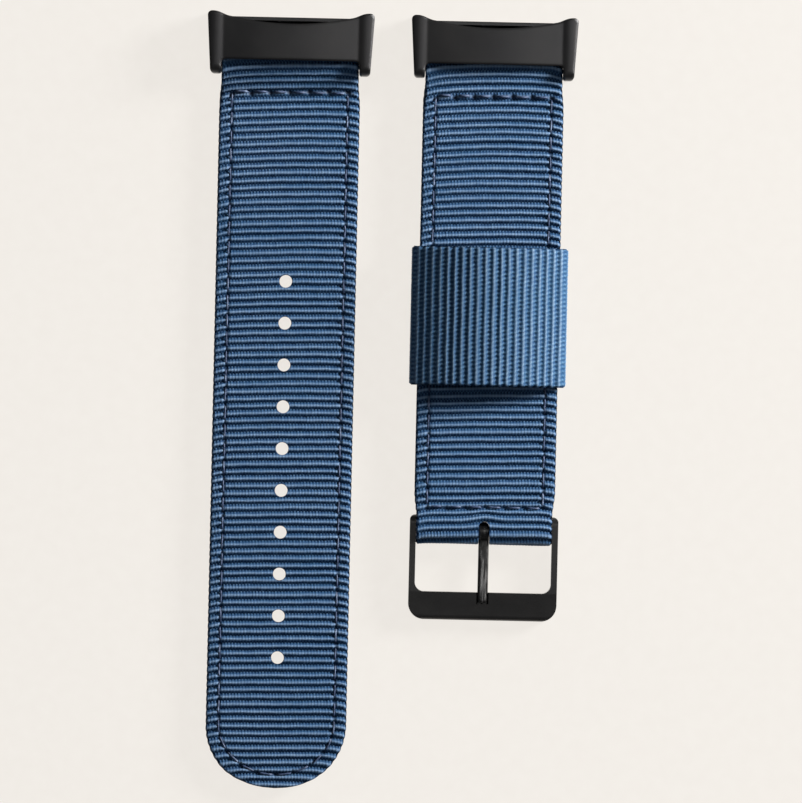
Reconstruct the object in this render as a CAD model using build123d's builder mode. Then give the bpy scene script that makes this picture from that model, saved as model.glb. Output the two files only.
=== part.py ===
from build123d import *
import math
import os

# Two-piece webbing band for a fitness tracker, in millimetres.
# X runs across the band, Y along it with the tracker end at +Y, Z is up.
# The two halves lie side by side, and each ends in a metal adapter for the tracker.
# The origin is the middle of the footprint, on the surface that the band lies on.

# Webbing
strap_width = 20.0
layer = 1.15
layer_gap = 0.10
strap_thick = 2 * layer + layer_gap
strap_length = 103.6
tip_depth = 9.3
half_spacing = 14.6

# Spring bars, which the webbing loops round
bar_z = 2.0
tube_outer = 0.75
tube_bore = 0.50
loop_inner = 0.85
loop_outer = loop_inner + layer
tube_clearance = 1.5
crimp_length = 0.25
crimp_bore = 0.42
plunger_rod = 0.36
plunger_head = 0.46
collar_radius = 0.60

# Adapter, measured from the axis of its spring bar
lug_gap = 19.8
adapter_width = 23.94
adapter_rear_width = 22.86
lug_rear = -1.30
lug_round_start = -0.1
lug_back_top = 3.9
roof_rear = 0.72
lip_middle = 5.88
plate_front = 6.84
ear_front = 7.58
ear_slope_start = 8.6
ear_slope_end = 11.2
crown_height = 5.6
valley_height = 5.0
valley_half = 9.75
wing_height = 5.15
wing_fall = 0.4
roof_under = 4.35
floor_thick = 1.1
front_wall = 0.50

# Latch
latch_size = (7.0, 2.0)
latch_y = 4.5
latch_gap = 0.12
latch_flange = 0.5
latch_spring_x = 2.6
latch_wire = 0.10

# Buckle, measured from the axis of its spring bar
buckle_pin_distance = 66.1
buckle_inner = 19.5
buckle_arm = 0.88
buckle_outer = buckle_inner + 2 * buckle_arm
buckle_back = 2.2
buckle_bar_inner = 8.8
buckle_bar_outer = 12.8
buckle_bar_height = 2.6
tongue_width = 1.5
tongue_ring = 1.35
tongue_bore = 0.80
tongue_reach = 10.35
tongue_slot_width = 1.84
tongue_slot_back = 1.45
rest_clearance = 0.12
rest_depth = 0.95

# Keeper
keeper_width = 22.5
keeper_length = 19.85
keeper_from_pin = 25.45
keeper_height = 7.5
keeper_lift = layer + 0.15

# Punched holes
hole_count = 10
hole_pitch = 6.0
first_hole = 30.9
hole_radius = 0.925

# Stitching
stitch_pitch = 2.62
stitch_length = 1.95
thread = 0.34
thread_proud = 0.12
side_inset = 1.7
tip_inset = 1.95
cross_row = 3.8
buckle_row = 3.45
corner_gap = 0.6

# Places in the part's frame
total_length = strap_length + ear_front
pin_y = total_length / 2 - ear_front
tip_y = pin_y - strap_length
buckle_y = pin_y - buckle_pin_distance
long_x = -half_spacing
short_x = half_spacing
ramp = 4.0

os.makedirs("parts", exist_ok=True)


def save(piece, name):
    """Label a finished piece and write it to its own file."""
    piece.label = name
    export_step(piece, f"parts/{name}.step")


def save_at(piece, name, x, y, z=0.0):
    """Save a copy of a piece that was made about its own bar axis."""
    with BuildPart() as placed:
        with Locations((x, y, z)):
            add(piece)
    save(placed.part, name)


# ---------------------------------------------------------------- webbing

def tangent_point(pin, radius, y, z, upper):
    """Where a straight run from (y, z) touches the loop round a bar."""
    distance = math.hypot(y - pin, z - bar_z)
    toward = math.atan2(z - bar_z, y - pin)
    swing = math.acos(radius / distance)
    clockwise = (y < pin) == upper
    angle = toward - swing if clockwise else toward + swing
    return (pin + radius * math.cos(angle), bar_z + radius * math.sin(angle))


def loop_shape(pin, side, low, high, radius, mode=Mode.ADD):
    """A round loop on a bar with its two runs closing on the flat strap."""
    y = pin + side * ramp
    under = tangent_point(pin, radius, y, low, upper=False)
    over = tangent_point(pin, radius, y, high, upper=True)
    Polygon((y, low), under, (pin, bar_z), over, (y, high), align=None, mode=mode)
    with Locations((pin, bar_z)):
        Circle(radius, mode=mode)


def flat_run(y_low, y_high, z_low, z_high, mode=Mode.ADD):
    """A rectangle between two stations along the strap."""
    with Locations(((y_low + y_high) / 2, (z_low + z_high) / 2)):
        Rectangle(y_high - y_low, z_high - z_low, mode=mode)


def strap_outline(points_right, tip=None):
    """The strap seen from above: half of it, mirrored, with a round tip where asked."""
    with BuildSketch() as outline:
        with BuildLine():
            Polyline(*points_right, *[(-x, y) for x, y in reversed(points_right)], close=True)
        make_face()
        if tip is not None:
            with Locations((0, tip + tip_depth)):
                Ellipse(strap_width / 2, tip_depth)
    return outline.sketch


lug_width = lug_gap - 0.3
buckle_width = buckle_inner - 0.14
half = strap_width / 2

# The long strap: one strip folded round the adapter's bar, both layers running to the tip
with BuildPart() as long_webbing:
    with BuildSketch(Plane.YZ.offset(-strap_width)):
        flat_run(tip_y - 1, pin_y - ramp, 0, strap_thick)
        loop_shape(pin_y, -1, 0, strap_thick, loop_outer)
        loop_shape(pin_y, -1, layer, layer + layer_gap, loop_inner, Mode.SUBTRACT)
        flat_run(tip_y - 1, pin_y - ramp, layer, layer + layer_gap, Mode.SUBTRACT)
    extrude(amount=2 * strap_width)
    long_outline = strap_outline(
        [
            (half, tip_y + tip_depth),
            (half, pin_y - ramp - 1.5),
            (lug_width / 2, pin_y - ramp + 1.2),
            (lug_width / 2, pin_y + loop_outer + 1),
        ],
        tip=tip_y,
    )
    extrude(long_outline, amount=loop_outer + bar_z + 1, mode=Mode.INTERSECT)
    with Locations(*[(0, pin_y - first_hole - i * hole_pitch, 0) for i in range(hole_count)]):
        Cylinder(hole_radius, 3 * strap_thick, mode=Mode.SUBTRACT)
save_at(long_webbing.part, "long_webbing", long_x, 0)

# The short strap: one strip that loops round the adapter's bar and the buckle's bar.
# Its flat stretch stands clear of the surface by the keeper's under layer.
short_low = keeper_lift
short_high = keeper_lift + strap_thick
with BuildPart() as short_webbing:
    with BuildSketch(Plane.YZ.offset(-strap_width)):
        flat_run(buckle_y + ramp, pin_y - ramp, short_low, short_high)
        loop_shape(pin_y, -1, short_low, short_high, loop_outer)
        loop_shape(buckle_y, 1, short_low, short_high, loop_outer)
        slit_low = short_low + layer
        slit_high = slit_low + layer_gap
        flat_run(buckle_y + ramp, pin_y - ramp, slit_low, slit_high, Mode.SUBTRACT)
        loop_shape(pin_y, -1, slit_low, slit_high, loop_inner, Mode.SUBTRACT)
        loop_shape(buckle_y, 1, slit_low, slit_high, loop_inner, Mode.SUBTRACT)
        strip_joint_y = (pin_y + buckle_y) / 2
        flat_run(strip_joint_y - 0.1, strip_joint_y + 0.1, short_low - 1, slit_low, Mode.SUBTRACT)
    extrude(amount=2 * strap_width)
    short_outline = strap_outline(
        [
            (buckle_width / 2, buckle_y - loop_outer - 1),
            (buckle_width / 2, buckle_y + ramp - 1.2),
            (half, buckle_y + ramp + 0.3),
            (half, pin_y - ramp - 1.5),
            (lug_width / 2, pin_y - ramp + 1.2),
            (lug_width / 2, pin_y + loop_outer + 1),
        ]
    )
    extrude(short_outline, amount=loop_outer + bar_z + 1, mode=Mode.INTERSECT)
    slot_end = tongue_slot_back - tongue_slot_width / 2
    with BuildSketch():
        with Locations((0, buckle_y + slot_end)):
            Circle(tongue_slot_width / 2)
        with Locations((0, buckle_y + slot_end - 3)):
            Rectangle(tongue_slot_width, 6)
    extrude(amount=3 * loop_outer, mode=Mode.SUBTRACT)
save_at(short_webbing.part, "short_webbing", short_x, 0)


# ---------------------------------------------------------------- stitching

def stitch_ring(height):
    """One lock stitch: a loop of thread round both layers, along its own X."""
    with BuildPart() as stitch:
        with BuildSketch(Plane.XZ.offset(-thread / 2)):
            with Locations((0, height / 2)):
                RectangleRounded(stitch_length, height, thread)
                RectangleRounded(
                    stitch_length - 2 * thread, height - 2 * thread, 0.05, mode=Mode.SUBTRACT
                )
        extrude(amount=thread)
    return stitch.part


def row_places(start, end):
    """Stitches evenly spaced on a straight run, each with its heading."""
    run = math.dist(start, end)
    count = round(run / stitch_pitch)
    heading = math.degrees(math.atan2(end[1] - start[1], end[0] - start[0]))
    places = []
    for i in range(count):
        share = (i + 0.5) / count
        x = start[0] + share * (end[0] - start[0])
        y = start[1] + share * (end[1] - start[1])
        places.append((x, y, heading))
    return places


def tip_places():
    """Stitches along the round tip, inside its edge."""
    wide = strap_width / 2 - side_inset
    deep = tip_depth - tip_inset
    count = round(math.pi * (wide + deep) / 2 / stitch_pitch)
    places = []
    for i in range(count):
        angle = math.pi + (i + 0.5) / count * math.pi
        x = wide * math.cos(angle)
        y = tip_y + tip_depth + deep * math.sin(angle)
        heading = math.degrees(math.atan2(deep * math.cos(angle), -wide * math.sin(angle)))
        places.append((x, y, heading))
    return places


def seam(places, low, name, x):
    """All the stitches of one seam as a group of separate solids."""
    stitch = stitch_ring(strap_thick + thread_proud - 0.02)
    with BuildPart() as threads:
        with Locations(*[Location((px, py, low + 0.02), (0, 0, turn)) for px, py, turn in places]):
            add(stitch)
    save_at(threads.part, name, x, 0)


seam_half = strap_width / 2 - side_inset
top_row = pin_y - cross_row
side_top = top_row - corner_gap
tip_start = tip_y + tip_depth
seam(
    row_places((-seam_half, side_top), (-seam_half, tip_start))
    + tip_places()
    + row_places((seam_half, tip_start), (seam_half, side_top))
    + row_places((-seam_half, top_row), (seam_half, top_row)),
    0.0,
    "long_seam_thread",
    long_x,
)
bottom_row = buckle_y + buckle_row
side_bottom = bottom_row + corner_gap
seam(
    row_places((-seam_half, side_bottom), (-seam_half, side_top))
    + row_places((seam_half, side_bottom), (seam_half, side_top))
    + row_places((-seam_half, top_row), (seam_half, top_row))
    + row_places((-seam_half, bottom_row), (seam_half, bottom_row)),
    short_low,
    "short_seam_thread",
    short_x,
)


# ---------------------------------------------------------------- spring bars

def turned(profile):
    """A body of revolution about the bar's X axis, from (along, radius) corners."""
    with BuildPart() as body:
        with BuildSketch(Plane.XZ):
            with BuildLine():
                Polyline(*profile, close=True)
            make_face()
        revolve(axis=Axis.X)
    return body.part


def coil(radius, wire, height, turns, start, direction):
    """A coil spring of twelve-sided wire, from a point on its axis along a direction."""
    with BuildPart() as spring:
        with BuildLine() as path:
            Helix(height / turns, height, radius, center=start, direction=direction)
        with BuildSketch(Plane(origin=path.line @ 0, z_dir=path.line % 0)):
            RegularPolygon(wire, 12)
        sweep()
    return spring.part


def spring_bar(prefix, x, y, half_gap, tip_reach):
    """Tube, spring and two plungers of one bar, whose tips stand in the lugs."""
    tube_half = half_gap - tube_clearance
    tube = turned(
        [
            (-tube_half, crimp_bore),
            (-tube_half, tube_outer),
            (tube_half, tube_outer),
            (tube_half, crimp_bore),
            (tube_half - crimp_length, crimp_bore),
            (tube_half - crimp_length, tube_bore),
            (-tube_half + crimp_length, tube_bore),
            (-tube_half + crimp_length, crimp_bore),
        ]
    )
    save_at(tube, f"{prefix}_tube", x, y, bar_z)
    head_inner = tube_half - 1.8
    head_outer = head_inner + 0.8
    collar = half_gap - 0.30
    tip_end = half_gap + tip_reach
    for side, sign in (("left", -1), ("right", 1)):
        corners = [
            (head_inner, 0),
            (head_inner, plunger_head),
            (head_outer, plunger_head),
            (head_outer, plunger_rod),
            (collar - 0.25, plunger_rod),
            (collar - 0.25, collar_radius),
            (collar, collar_radius),
            (collar, plunger_rod),
            (tip_end - 0.1, plunger_rod),
            (tip_end, plunger_rod - 0.1),
            (tip_end, 0),
        ]
        plunger = turned([(sign * along, radius) for along, radius in corners])
        save_at(plunger, f"{prefix}_plunger_{side}", x, y, bar_z)
    spring_half = head_inner - 0.1
    spring = coil(0.33, 0.07, 2 * spring_half, 16, (-spring_half, 0, 0), (1, 0, 0))
    save_at(spring, f"{prefix}_spring", x, y, bar_z)


spring_bar("long_bar", long_x, pin_y, lug_gap / 2, 0.85)
spring_bar("short_bar", short_x, pin_y, lug_gap / 2, 0.85)
spring_bar("buckle_bar", short_x, buckle_y, buckle_inner / 2, 0.80)


# ---------------------------------------------------------------- adapter

def mirrored_outline(points):
    """Straight run through right-hand points and back through their mirror images."""
    Polyline(*points, *[(-x, y) for x, y in reversed(points)])


with BuildPart() as adapter_shell:
    # Seen from above: ears at the front corners, hollow lip, open back between the lugs
    with BuildSketch() as plan:
        with BuildLine():
            front = adapter_width / 2
            rear = adapter_rear_width / 2
            ThreePointArc(
                (-ear_slope_start, plate_front), (0, lip_middle), (ear_slope_start, plate_front)
            )
            for sign in (-1, 1):
                Spline(
                    (sign * ear_slope_start, plate_front),
                    (sign * ear_slope_end, ear_front),
                    tangents=[(sign, 0.12), (sign, 0)],
                )
                Line((sign * ear_slope_end, ear_front), (sign * front, ear_front))
            Polyline((front, ear_front), (rear, lug_rear), (lug_gap / 2, lug_rear), (lug_gap / 2, roof_rear))
            Polyline((-front, ear_front), (-rear, lug_rear), (-lug_gap / 2, lug_rear), (-lug_gap / 2, roof_rear))
            Line((-lug_gap / 2, roof_rear), (lug_gap / 2, roof_rear))
        make_face()
        corners = plan.vertices()
        fillet(corners.filter_by(lambda v: abs(v.X) > 11.5 and v.Y > 5), 0.6)
        fillet(plan.vertices().filter_by(lambda v: abs(v.X) > 11 and v.Y < 0), 0.6)
        fillet(plan.vertices().filter_by(lambda v: abs(abs(v.X) - lug_gap / 2) < 0.01 and v.Y < 0), 0.35)
        fillet(plan.vertices().filter_by(lambda v: abs(v.Y - roof_rear) < 0.01), 0.7)
    extrude(amount=crown_height + 1)
    # Seen from the front: crowned roof, a valley each side, and a raised wing over each lug
    with BuildSketch(Plane.XZ.offset(-ear_front - 1)):
        with BuildLine():
            edge = adapter_width / 2 + 0.3
            ThreePointArc((-valley_half, valley_height), (0, crown_height), (valley_half, valley_height))
            for sign in (-1, 1):
                ThreePointArc(
                    (sign * valley_half, valley_height),
                    (sign * (valley_half + 1.2), wing_height),
                    (sign * edge, wing_height - wing_fall),
                )
                Line((sign * edge, wing_height - wing_fall), (sign * edge, 0))
            Line((-edge, 0), (edge, 0))
        make_face()
    extrude(amount=ear_front + 5, mode=Mode.INTERSECT)
    # Seen from the side: the backs of the lugs are rounded over at the top and tucked in below
    with BuildSketch(Plane.YZ.offset(-adapter_width)):
        with BuildLine():
            Line((lug_round_start, crown_height + 0.2), (lug_round_start, wing_height))
            ThreePointArc(
                (lug_round_start, wing_height), (lug_rear + 0.32, wing_height - 0.42), (lug_rear, lug_back_top)
            )
            Line((lug_rear, lug_back_top), (lug_rear, 0.9))
            ThreePointArc((lug_rear, 0.9), (lug_rear + 0.3, 0.25), (lug_rear + 1, 0))
            Polyline(
                (lug_rear + 1, 0),
                (ear_front + 1, 0),
                (ear_front + 1, crown_height + 0.2),
                (lug_round_start, crown_height + 0.2),
            )
        make_face()
    extrude(amount=2 * adapter_width, mode=Mode.INTERSECT)
    # Room inside for the webbing loop, the base and the latch, open below, behind and in front
    with BuildSketch():
        with Locations((0, 3)):
            Rectangle(lug_gap, 14)
    extrude(amount=roof_under, mode=Mode.SUBTRACT)
    # Blind holes in the lugs for the bar's tips
    with BuildSketch(Plane.YZ.offset(-lug_gap / 2 - 1.0)):
        with Locations((0, bar_z)):
            Circle(plunger_rod + 0.05)
    extrude(amount=lug_gap + 2.0, mode=Mode.SUBTRACT)

# The base: floor plate with a window for the latch, and the wall that meets the tracker
base_half = lug_gap / 2 - 0.04
base_rear = 2.6
with BuildPart() as adapter_base:
    with BuildSketch():
        with Locations((0, (base_rear + plate_front) / 2)):
            Rectangle(2 * base_half, plate_front - base_rear)
        with Locations((0, latch_y)):
            RectangleRounded(latch_size[0] + 0.2, latch_size[1] + 0.2, 0.5, mode=Mode.SUBTRACT)
    extrude(amount=floor_thick)
    with BuildSketch(Plane.XY.offset(floor_thick)):
        with Locations((0, plate_front - front_wall / 2)):
            Rectangle(2 * base_half, front_wall)
    extrude(amount=roof_under - floor_thick - 0.04)
    with BuildSketch(Plane.XZ.offset(-plate_front - 1)):
        with Locations((0, 2.7)):
            RectangleRounded(3.8, 1.7, 0.4)
    extrude(amount=front_wall + 1.2, mode=Mode.SUBTRACT)
    rear_edge = adapter_base.edges().filter_by(Axis.X).sort_by(Axis.Y)[0:2]
    fillet(rear_edge, 0.3)
    wall_rim = adapter_base.edges().filter_by(Axis.X).group_by(Axis.Z)[-1].sort_by(Axis.Y)[-1]
    fillet(wall_rim, 0.15)

# The latch: a button set in the base, a flange inside, and a catch behind the front wall
with BuildPart() as latch_button:
    with BuildSketch(Plane.XY.offset(latch_gap)):
        with Locations((0, latch_y)):
            RectangleRounded(latch_size[0], latch_size[1], 0.45)
    extrude(amount=floor_thick)
    with BuildSketch(Plane.XY.offset(floor_thick + latch_gap)):
        with Locations((0, latch_y)):
            RectangleRounded(latch_size[0] + 1.2, latch_size[1] + 0.9, 0.3)
    extrude(amount=latch_flange)
    with BuildSketch(Plane.XY.offset(floor_thick + latch_gap)):
        with Locations((0, plate_front - front_wall - 0.55)):
            Rectangle(3.2, 0.7)
    extrude(amount=1.6)
    under_edges = latch_button.faces().sort_by(Axis.Z)[0].edges()
    chamfer(under_edges, 0.15)

# Two coil springs between the latch's flange and the roof
spring_floor = floor_thick + latch_gap + latch_flange
with BuildPart() as latch_springs:
    coil_height = roof_under - spring_floor - 2.4 * latch_wire
    coil_start = (0, latch_y, spring_floor + 1.2 * latch_wire)
    latch_coil = coil(0.5, latch_wire, coil_height, 4, coil_start, (0, 0, 1))
    with Locations((-latch_spring_x, 0, 0), (latch_spring_x, 0, 0)):
        add(latch_coil)

for half_name, half_x in (("long", long_x), ("short", short_x)):
    save_at(adapter_shell.part, f"{half_name}_adapter_shell", half_x, pin_y)
    save_at(adapter_base.part, f"{half_name}_adapter_base", half_x, pin_y)
    save_at(latch_button.part, f"{half_name}_latch_button", half_x, pin_y)
    save_at(latch_springs.part, f"{half_name}_latch_springs", half_x, pin_y)


# ---------------------------------------------------------------- buckle

with BuildPart() as buckle_frame:
    # Seen from above: a U of two slim arms and a broad bar with round corners
    with BuildSketch() as frame_plan:
        with Locations((0, (buckle_back - buckle_bar_outer) / 2)):
            Rectangle(buckle_outer, buckle_back + buckle_bar_outer)
        fillet(frame_plan.vertices().group_by(Axis.Y)[0], 2.3)
        fillet(frame_plan.vertices().group_by(Axis.Y)[-1], 0.75)
        with BuildSketch(mode=Mode.SUBTRACT) as window:
            with Locations((0, (buckle_back + 2 - buckle_bar_inner) / 2)):
                Rectangle(buckle_inner, buckle_back + 2 + buckle_bar_inner)
            fillet(window.vertices().group_by(Axis.Y)[0], 1.3)
    extrude(amount=6)
    # Seen from the side: arms with round eyes on the pin, sloping down to the bar
    with BuildSketch(Plane.YZ.offset(-buckle_outer)) as frame_side:
        with BuildLine():
            Polyline(
                (buckle_back, 0.75),
                (buckle_back, 3.25),
                (-buckle_bar_inner, buckle_bar_height + 0.1),
                (-buckle_bar_outer, buckle_bar_height - 0.45),
                (-buckle_bar_outer, 0),
                (-buckle_bar_inner, 0),
                close=True,
            )
        make_face()
        fillet(frame_side.vertices().group_by(Axis.X)[-1], 1.1)
        fillet(frame_side.vertices().group_by(Axis.X)[0], 0.8)
    extrude(amount=2 * buckle_outer, mode=Mode.INTERSECT)
    # Holes in the arms for the bar's tips
    with BuildSketch(Plane.YZ.offset(-buckle_outer)):
        with Locations((0, bar_z)):
            Circle(plunger_rod + 0.05)
    extrude(amount=2 * buckle_outer, mode=Mode.SUBTRACT)
    # Rest for the tongue, cut into the bar's inner edge
    rest_start = buckle_bar_inner - 1
    with BuildSketch(Plane.XZ.offset(rest_start)):
        with Locations((0, buckle_bar_height)):
            RectangleRounded(tongue_width + 2 * rest_clearance, 2 * rest_depth, 0.3)
    extrude(amount=tongue_reach + rest_clearance - rest_start, mode=Mode.SUBTRACT)
save_at(buckle_frame.part, "buckle_frame", short_x, buckle_y)

# The tongue: an eye round the bar's tube and a shank that reaches the frame's rest
shank_thick = 1.1
tip_thick = 0.8
tip_z = buckle_bar_height - 0.38
with BuildPart() as buckle_tongue:
    with BuildSketch(Plane.YZ.offset(-tongue_width / 2)) as tongue_side:
        with BuildLine():
            Polyline(
                (0, bar_z - shank_thick / 2),
                (0, bar_z + shank_thick / 2),
                (-tongue_reach, tip_z + tip_thick / 2),
                (-tongue_reach, tip_z - tip_thick / 2),
                close=True,
            )
        make_face()
        fillet(tongue_side.vertices().group_by(Axis.X)[0], 0.36)
        with Locations((0, bar_z)):
            Circle(tongue_ring)
            Circle(tongue_bore, mode=Mode.SUBTRACT)
    extrude(amount=tongue_width)
    shank_edges = buckle_tongue.edges().filter_by(
        lambda e: e.center().Y < -3 and e.length > 5
    )
    fillet(shank_edges, 0.3)
    # Both ends are round when seen from above
    with BuildSketch():
        with Locations((0, (tongue_ring - tongue_reach) / 2)):
            RectangleRounded(tongue_width, tongue_ring + tongue_reach, tongue_width / 2 - 0.01)
    extrude(amount=3 * bar_z, mode=Mode.INTERSECT)
save_at(buckle_tongue.part, "buckle_tongue", short_x, buckle_y)


# ---------------------------------------------------------------- keeper

keeper_middle = pin_y - keeper_from_pin - keeper_length / 2
keeper_half = keeper_width / 2
keeper_side = 4.8
with BuildPart() as keeper_loop:
    with BuildSketch(Plane.XZ.offset(-keeper_middle - keeper_length / 2)) as keeper_section:
        with BuildLine():
            ThreePointArc((-keeper_half, keeper_side), (0, keeper_height), (keeper_half, keeper_side))
            Polyline(
                (keeper_half, keeper_side), (keeper_half, 0), (-keeper_half, 0), (-keeper_half, keeper_side)
            )
        make_face()
        fillet(keeper_section.vertices().group_by(Axis.Y)[0], 1.35)
        fillet(keeper_section.vertices().group_by(Axis.Y)[-1], 1.5)
        offset(amount=-layer, kind=Kind.ARC, mode=Mode.SUBTRACT)
        Rectangle(0.15, 4, mode=Mode.SUBTRACT)
    extrude(amount=keeper_length)
save_at(keeper_loop.part, "keeper_loop", short_x, 0)

# Zigzag stitches across the keeper's butted ends, flush with both faces of its under layer
zigzag_count = 9
zigzag_pitch = (keeper_length - 2) / zigzag_count
zigzag_depth = 0.2
with BuildPart() as keeper_thread:
    zigzag = []
    for z in (zigzag_depth / 2 + 0.02, layer - zigzag_depth / 2):
        for i in range(zigzag_count):
            y = keeper_middle + (i - (zigzag_count - 1) / 2) * zigzag_pitch
            zigzag.append(Location((0, y, z), (0, 0, 25 * (-1) ** i)))
    with Locations(*zigzag):
        Box(3.2, thread, zigzag_depth)
save_at(keeper_thread.part, "keeper_seam_thread", short_x, 0)
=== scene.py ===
import math

import bmesh
import bpy
import numpy as np
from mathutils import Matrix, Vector


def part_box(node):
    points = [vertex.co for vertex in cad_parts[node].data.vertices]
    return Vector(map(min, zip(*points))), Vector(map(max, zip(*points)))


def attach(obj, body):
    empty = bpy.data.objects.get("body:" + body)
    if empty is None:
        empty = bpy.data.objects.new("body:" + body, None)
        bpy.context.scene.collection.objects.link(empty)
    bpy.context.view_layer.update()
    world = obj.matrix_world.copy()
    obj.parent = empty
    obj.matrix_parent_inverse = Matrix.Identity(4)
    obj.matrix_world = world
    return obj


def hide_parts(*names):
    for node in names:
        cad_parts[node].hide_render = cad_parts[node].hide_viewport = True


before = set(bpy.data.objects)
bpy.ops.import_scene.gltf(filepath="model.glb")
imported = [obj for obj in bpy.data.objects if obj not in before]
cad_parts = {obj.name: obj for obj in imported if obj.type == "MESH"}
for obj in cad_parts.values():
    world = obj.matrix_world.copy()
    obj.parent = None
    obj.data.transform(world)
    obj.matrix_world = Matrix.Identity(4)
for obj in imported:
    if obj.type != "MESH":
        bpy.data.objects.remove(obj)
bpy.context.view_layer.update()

MM = 0.001
rng = np.random.default_rng(7)

# ---------------------------------------------------------------- sizes, in millimetres

# The straps: half width, one layer and the gap between two, the depth of the long one's round tip,
# and half the gap where two ends of webbing butt
STRAP_HALF = 10.0
LAYER = 1.15
GAP = 0.10
THICK = 2 * LAYER + GAP
TIP_DEPTH = 9.3
BUTT_HALF = 0.06

# The loops round the bars: the channel's radius, the run of the ramps up to it, and their bends
BAR_CHANNEL = 0.85
LOOP = BAR_CHANNEL + LAYER / 2
RAMP = 3.9
RAMP_BEND = 1.6

# Half widths between the lugs and between the buckle's arms, and where the strap narrows to them
LUG_HALF = 9.75
BUCKLE_HALF = 9.66
NARROW_REACH = 2.8
NARROW_FADE = 2.6

# The keeper's section, the height at which it holds the short strap off the table, and what its
# sides keep free for the bulge of their edges
KEEPER_HALF = 11.25
KEEPER_LIFT = LAYER + 0.15
KEEPER_ARC_HEIGHT = 2.7
KEEPER_SIDE = 4.8
KEEPER_SIDE_MARGIN = 0.07

# Kinds of weave: length and depth of a rib and how peaked its crest is, width of a yarn and how far
# it leans within a rib, the share of its depth on crests and what valleys add, and the edge's droop
STRAP_WEAVE = {
    "rib": 1.045, "depth": 0.35, "sharpness": 1.45, "yarn": 0.45, "lean": 0.0,
    "on_crest": 0.25, "in_valley": 0.9, "droop": 0.30,
}
KEEPER_WEAVE = {
    "rib": 1.1, "depth": 0.19, "sharpness": 2.0, "yarn": 0.62, "lean": 0.7,
    "on_crest": 0.55, "in_valley": 0.3, "droop": 0.0,
}
YARN_DEPTH = 0.16
EDGE_ROUND = 0.30
EDGE_BULGE = 0.09
DROOP_REACH = 2.2
RIB_JITTER = 0.03
RIB_JITTER_LIMIT = 0.08
RIB_LIFT = 0.12
FUZZ = 0.012

# How the ribs lie: skew for each millimetre across, and arch at the strap's edges; each "more"
# is what is added towards the adapter. Round the tongue's slot the ribs part.
LONG_SKEW = 0.020
LONG_SKEW_MORE = 0.019
LONG_ARCH_MORE = 0.25
SHORT_SKEW = 0.028
SHORT_ARCH = 0.06
SHORT_ARCH_MORE = 0.44
SLOT_PARTING = 0.34

HOLE_RADIUS = 0.925
HOLE_COUNT = 10
HOLE_PITCH = 6.0
FIRST_HOLE = 30.9

# The tongue's slot: its width, how far it reaches behind the bar and in front of it, and the wider
# relief under it, which ends at a height
TONGUE_SLOT = 1.54
TONGUE_SLOT_BACK = 1.38
TONGUE_SLOT_FRONT = 4
RELIEF_BACK = 0.35
RELIEF_SIDE = 0.04
RELIEF_TOP = 3.0

# Crest height, yarn and painted shade on the walls of punched holes: dark, partly as fused cut nylon is and
# partly as painted shade inside the hole
CUT_WALL = (0.3, 0.5, 0.55)

# Seams: inset from the sides and the tip, length of a stitch, how deep the thread dives in a hole,
# distance of the cross rows from their bars, the channel that sewing pulls in the cloth, how far
# inside the under face the lower thread lies, and how far a thread sways to each side
SIDE_INSET = 1.7
TIP_INSET = 1.95
STITCH = 2.62
DIVE = 1.08
CROSS_ROW = 3.8
BUCKLE_ROW = 3.45
CHANNEL_DEPTH = 0.19
CHANNEL_WIDTH = 0.22
UNDER_SINK = 0.14
SWAY = 0.03

# The keeper's zigzag: radius of the thread, number of corners, its half width and end margins, and
# how far inside the upper face of the keeper's under layer it lies
KEEPER_THREAD = 0.11
ZIGZAG_CORNERS = 24
ZIGZAG_HALF = 1.5
ZIGZAG_MARGIN = 0.8
ZIGZAG_TOP_SINK = 0.12

# Kinds of seam: size and depth of a needle hole, radius of the thread, how far the thread sits
# below the cloth's highest points, and over what length it dips into a hole
SIDE_STITCHES = {"hole": (0.26, 0.26), "depth": 0.34, "thread": 0.12, "sink": 0.17, "dip": 0.36}
ADAPTER_STITCHES = {"hole": (0.50, 0.31), "depth": 0.52, "thread": 0.17, "sink": -0.04, "dip": 0.62}
BUCKLE_STITCHES = {"hole": (0.36, 0.22), "depth": 0.34, "thread": 0.14, "sink": 0.03, "dip": 0.55}


def centre(node):
    """The middle of a CAD node's box, in millimetres."""
    low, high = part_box(node)
    return (low + high) / 2 / MM


long_pin = centre("long_bar_tube")
short_pin = centre("short_bar_tube")
buckle_pin = centre("buckle_bar_tube")
tip_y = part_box("long_webbing")[0].y / MM
keeper_low, keeper_high = [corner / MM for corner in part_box("keeper_loop")]


# ---------------------------------------------------------------- plane curves

class Route:
    """A plane curve of straight runs and arcs, laid one after another."""

    def __init__(self, start, heading):
        self.pieces = []
        self.length = 0.0
        self.point = np.array(start, float)
        self.heading = heading

    def _add(self, length, curve):
        self.pieces.append((self.length, length, self.point, self.heading, curve))
        self.point = np.array(self._along(self.pieces[-1], length)[:2])
        self.heading += curve * length
        self.length += length

    @staticmethod
    def _along(piece, t):
        _, _, start, heading, curve = piece
        if curve == 0:
            return start[0] + math.cos(heading) * t, start[1] + math.sin(heading) * t, heading + 0 * t
        turned = heading + curve * t
        u = start[0] + (np.sin(turned) - math.sin(heading)) / curve
        v = start[1] - (np.cos(turned) - math.cos(heading)) / curve
        return u, v, turned

    def line(self, length):
        self._add(length, 0.0)
        return self

    def arc(self, radius, turn):
        self._add(radius * abs(turn), math.copysign(1 / radius, turn))
        return self

    def at(self, s):
        """Positions and headings at distances along the curve."""
        s = np.asarray(s, float)
        u, v, heading = np.zeros_like(s), np.zeros_like(s), np.zeros_like(s)
        for piece in self.pieces:
            here = s >= piece[0] - 1e-9
            u[here], v[here], heading[here] = self._along(piece, s[here] - piece[0])
        return u, v, heading


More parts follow.
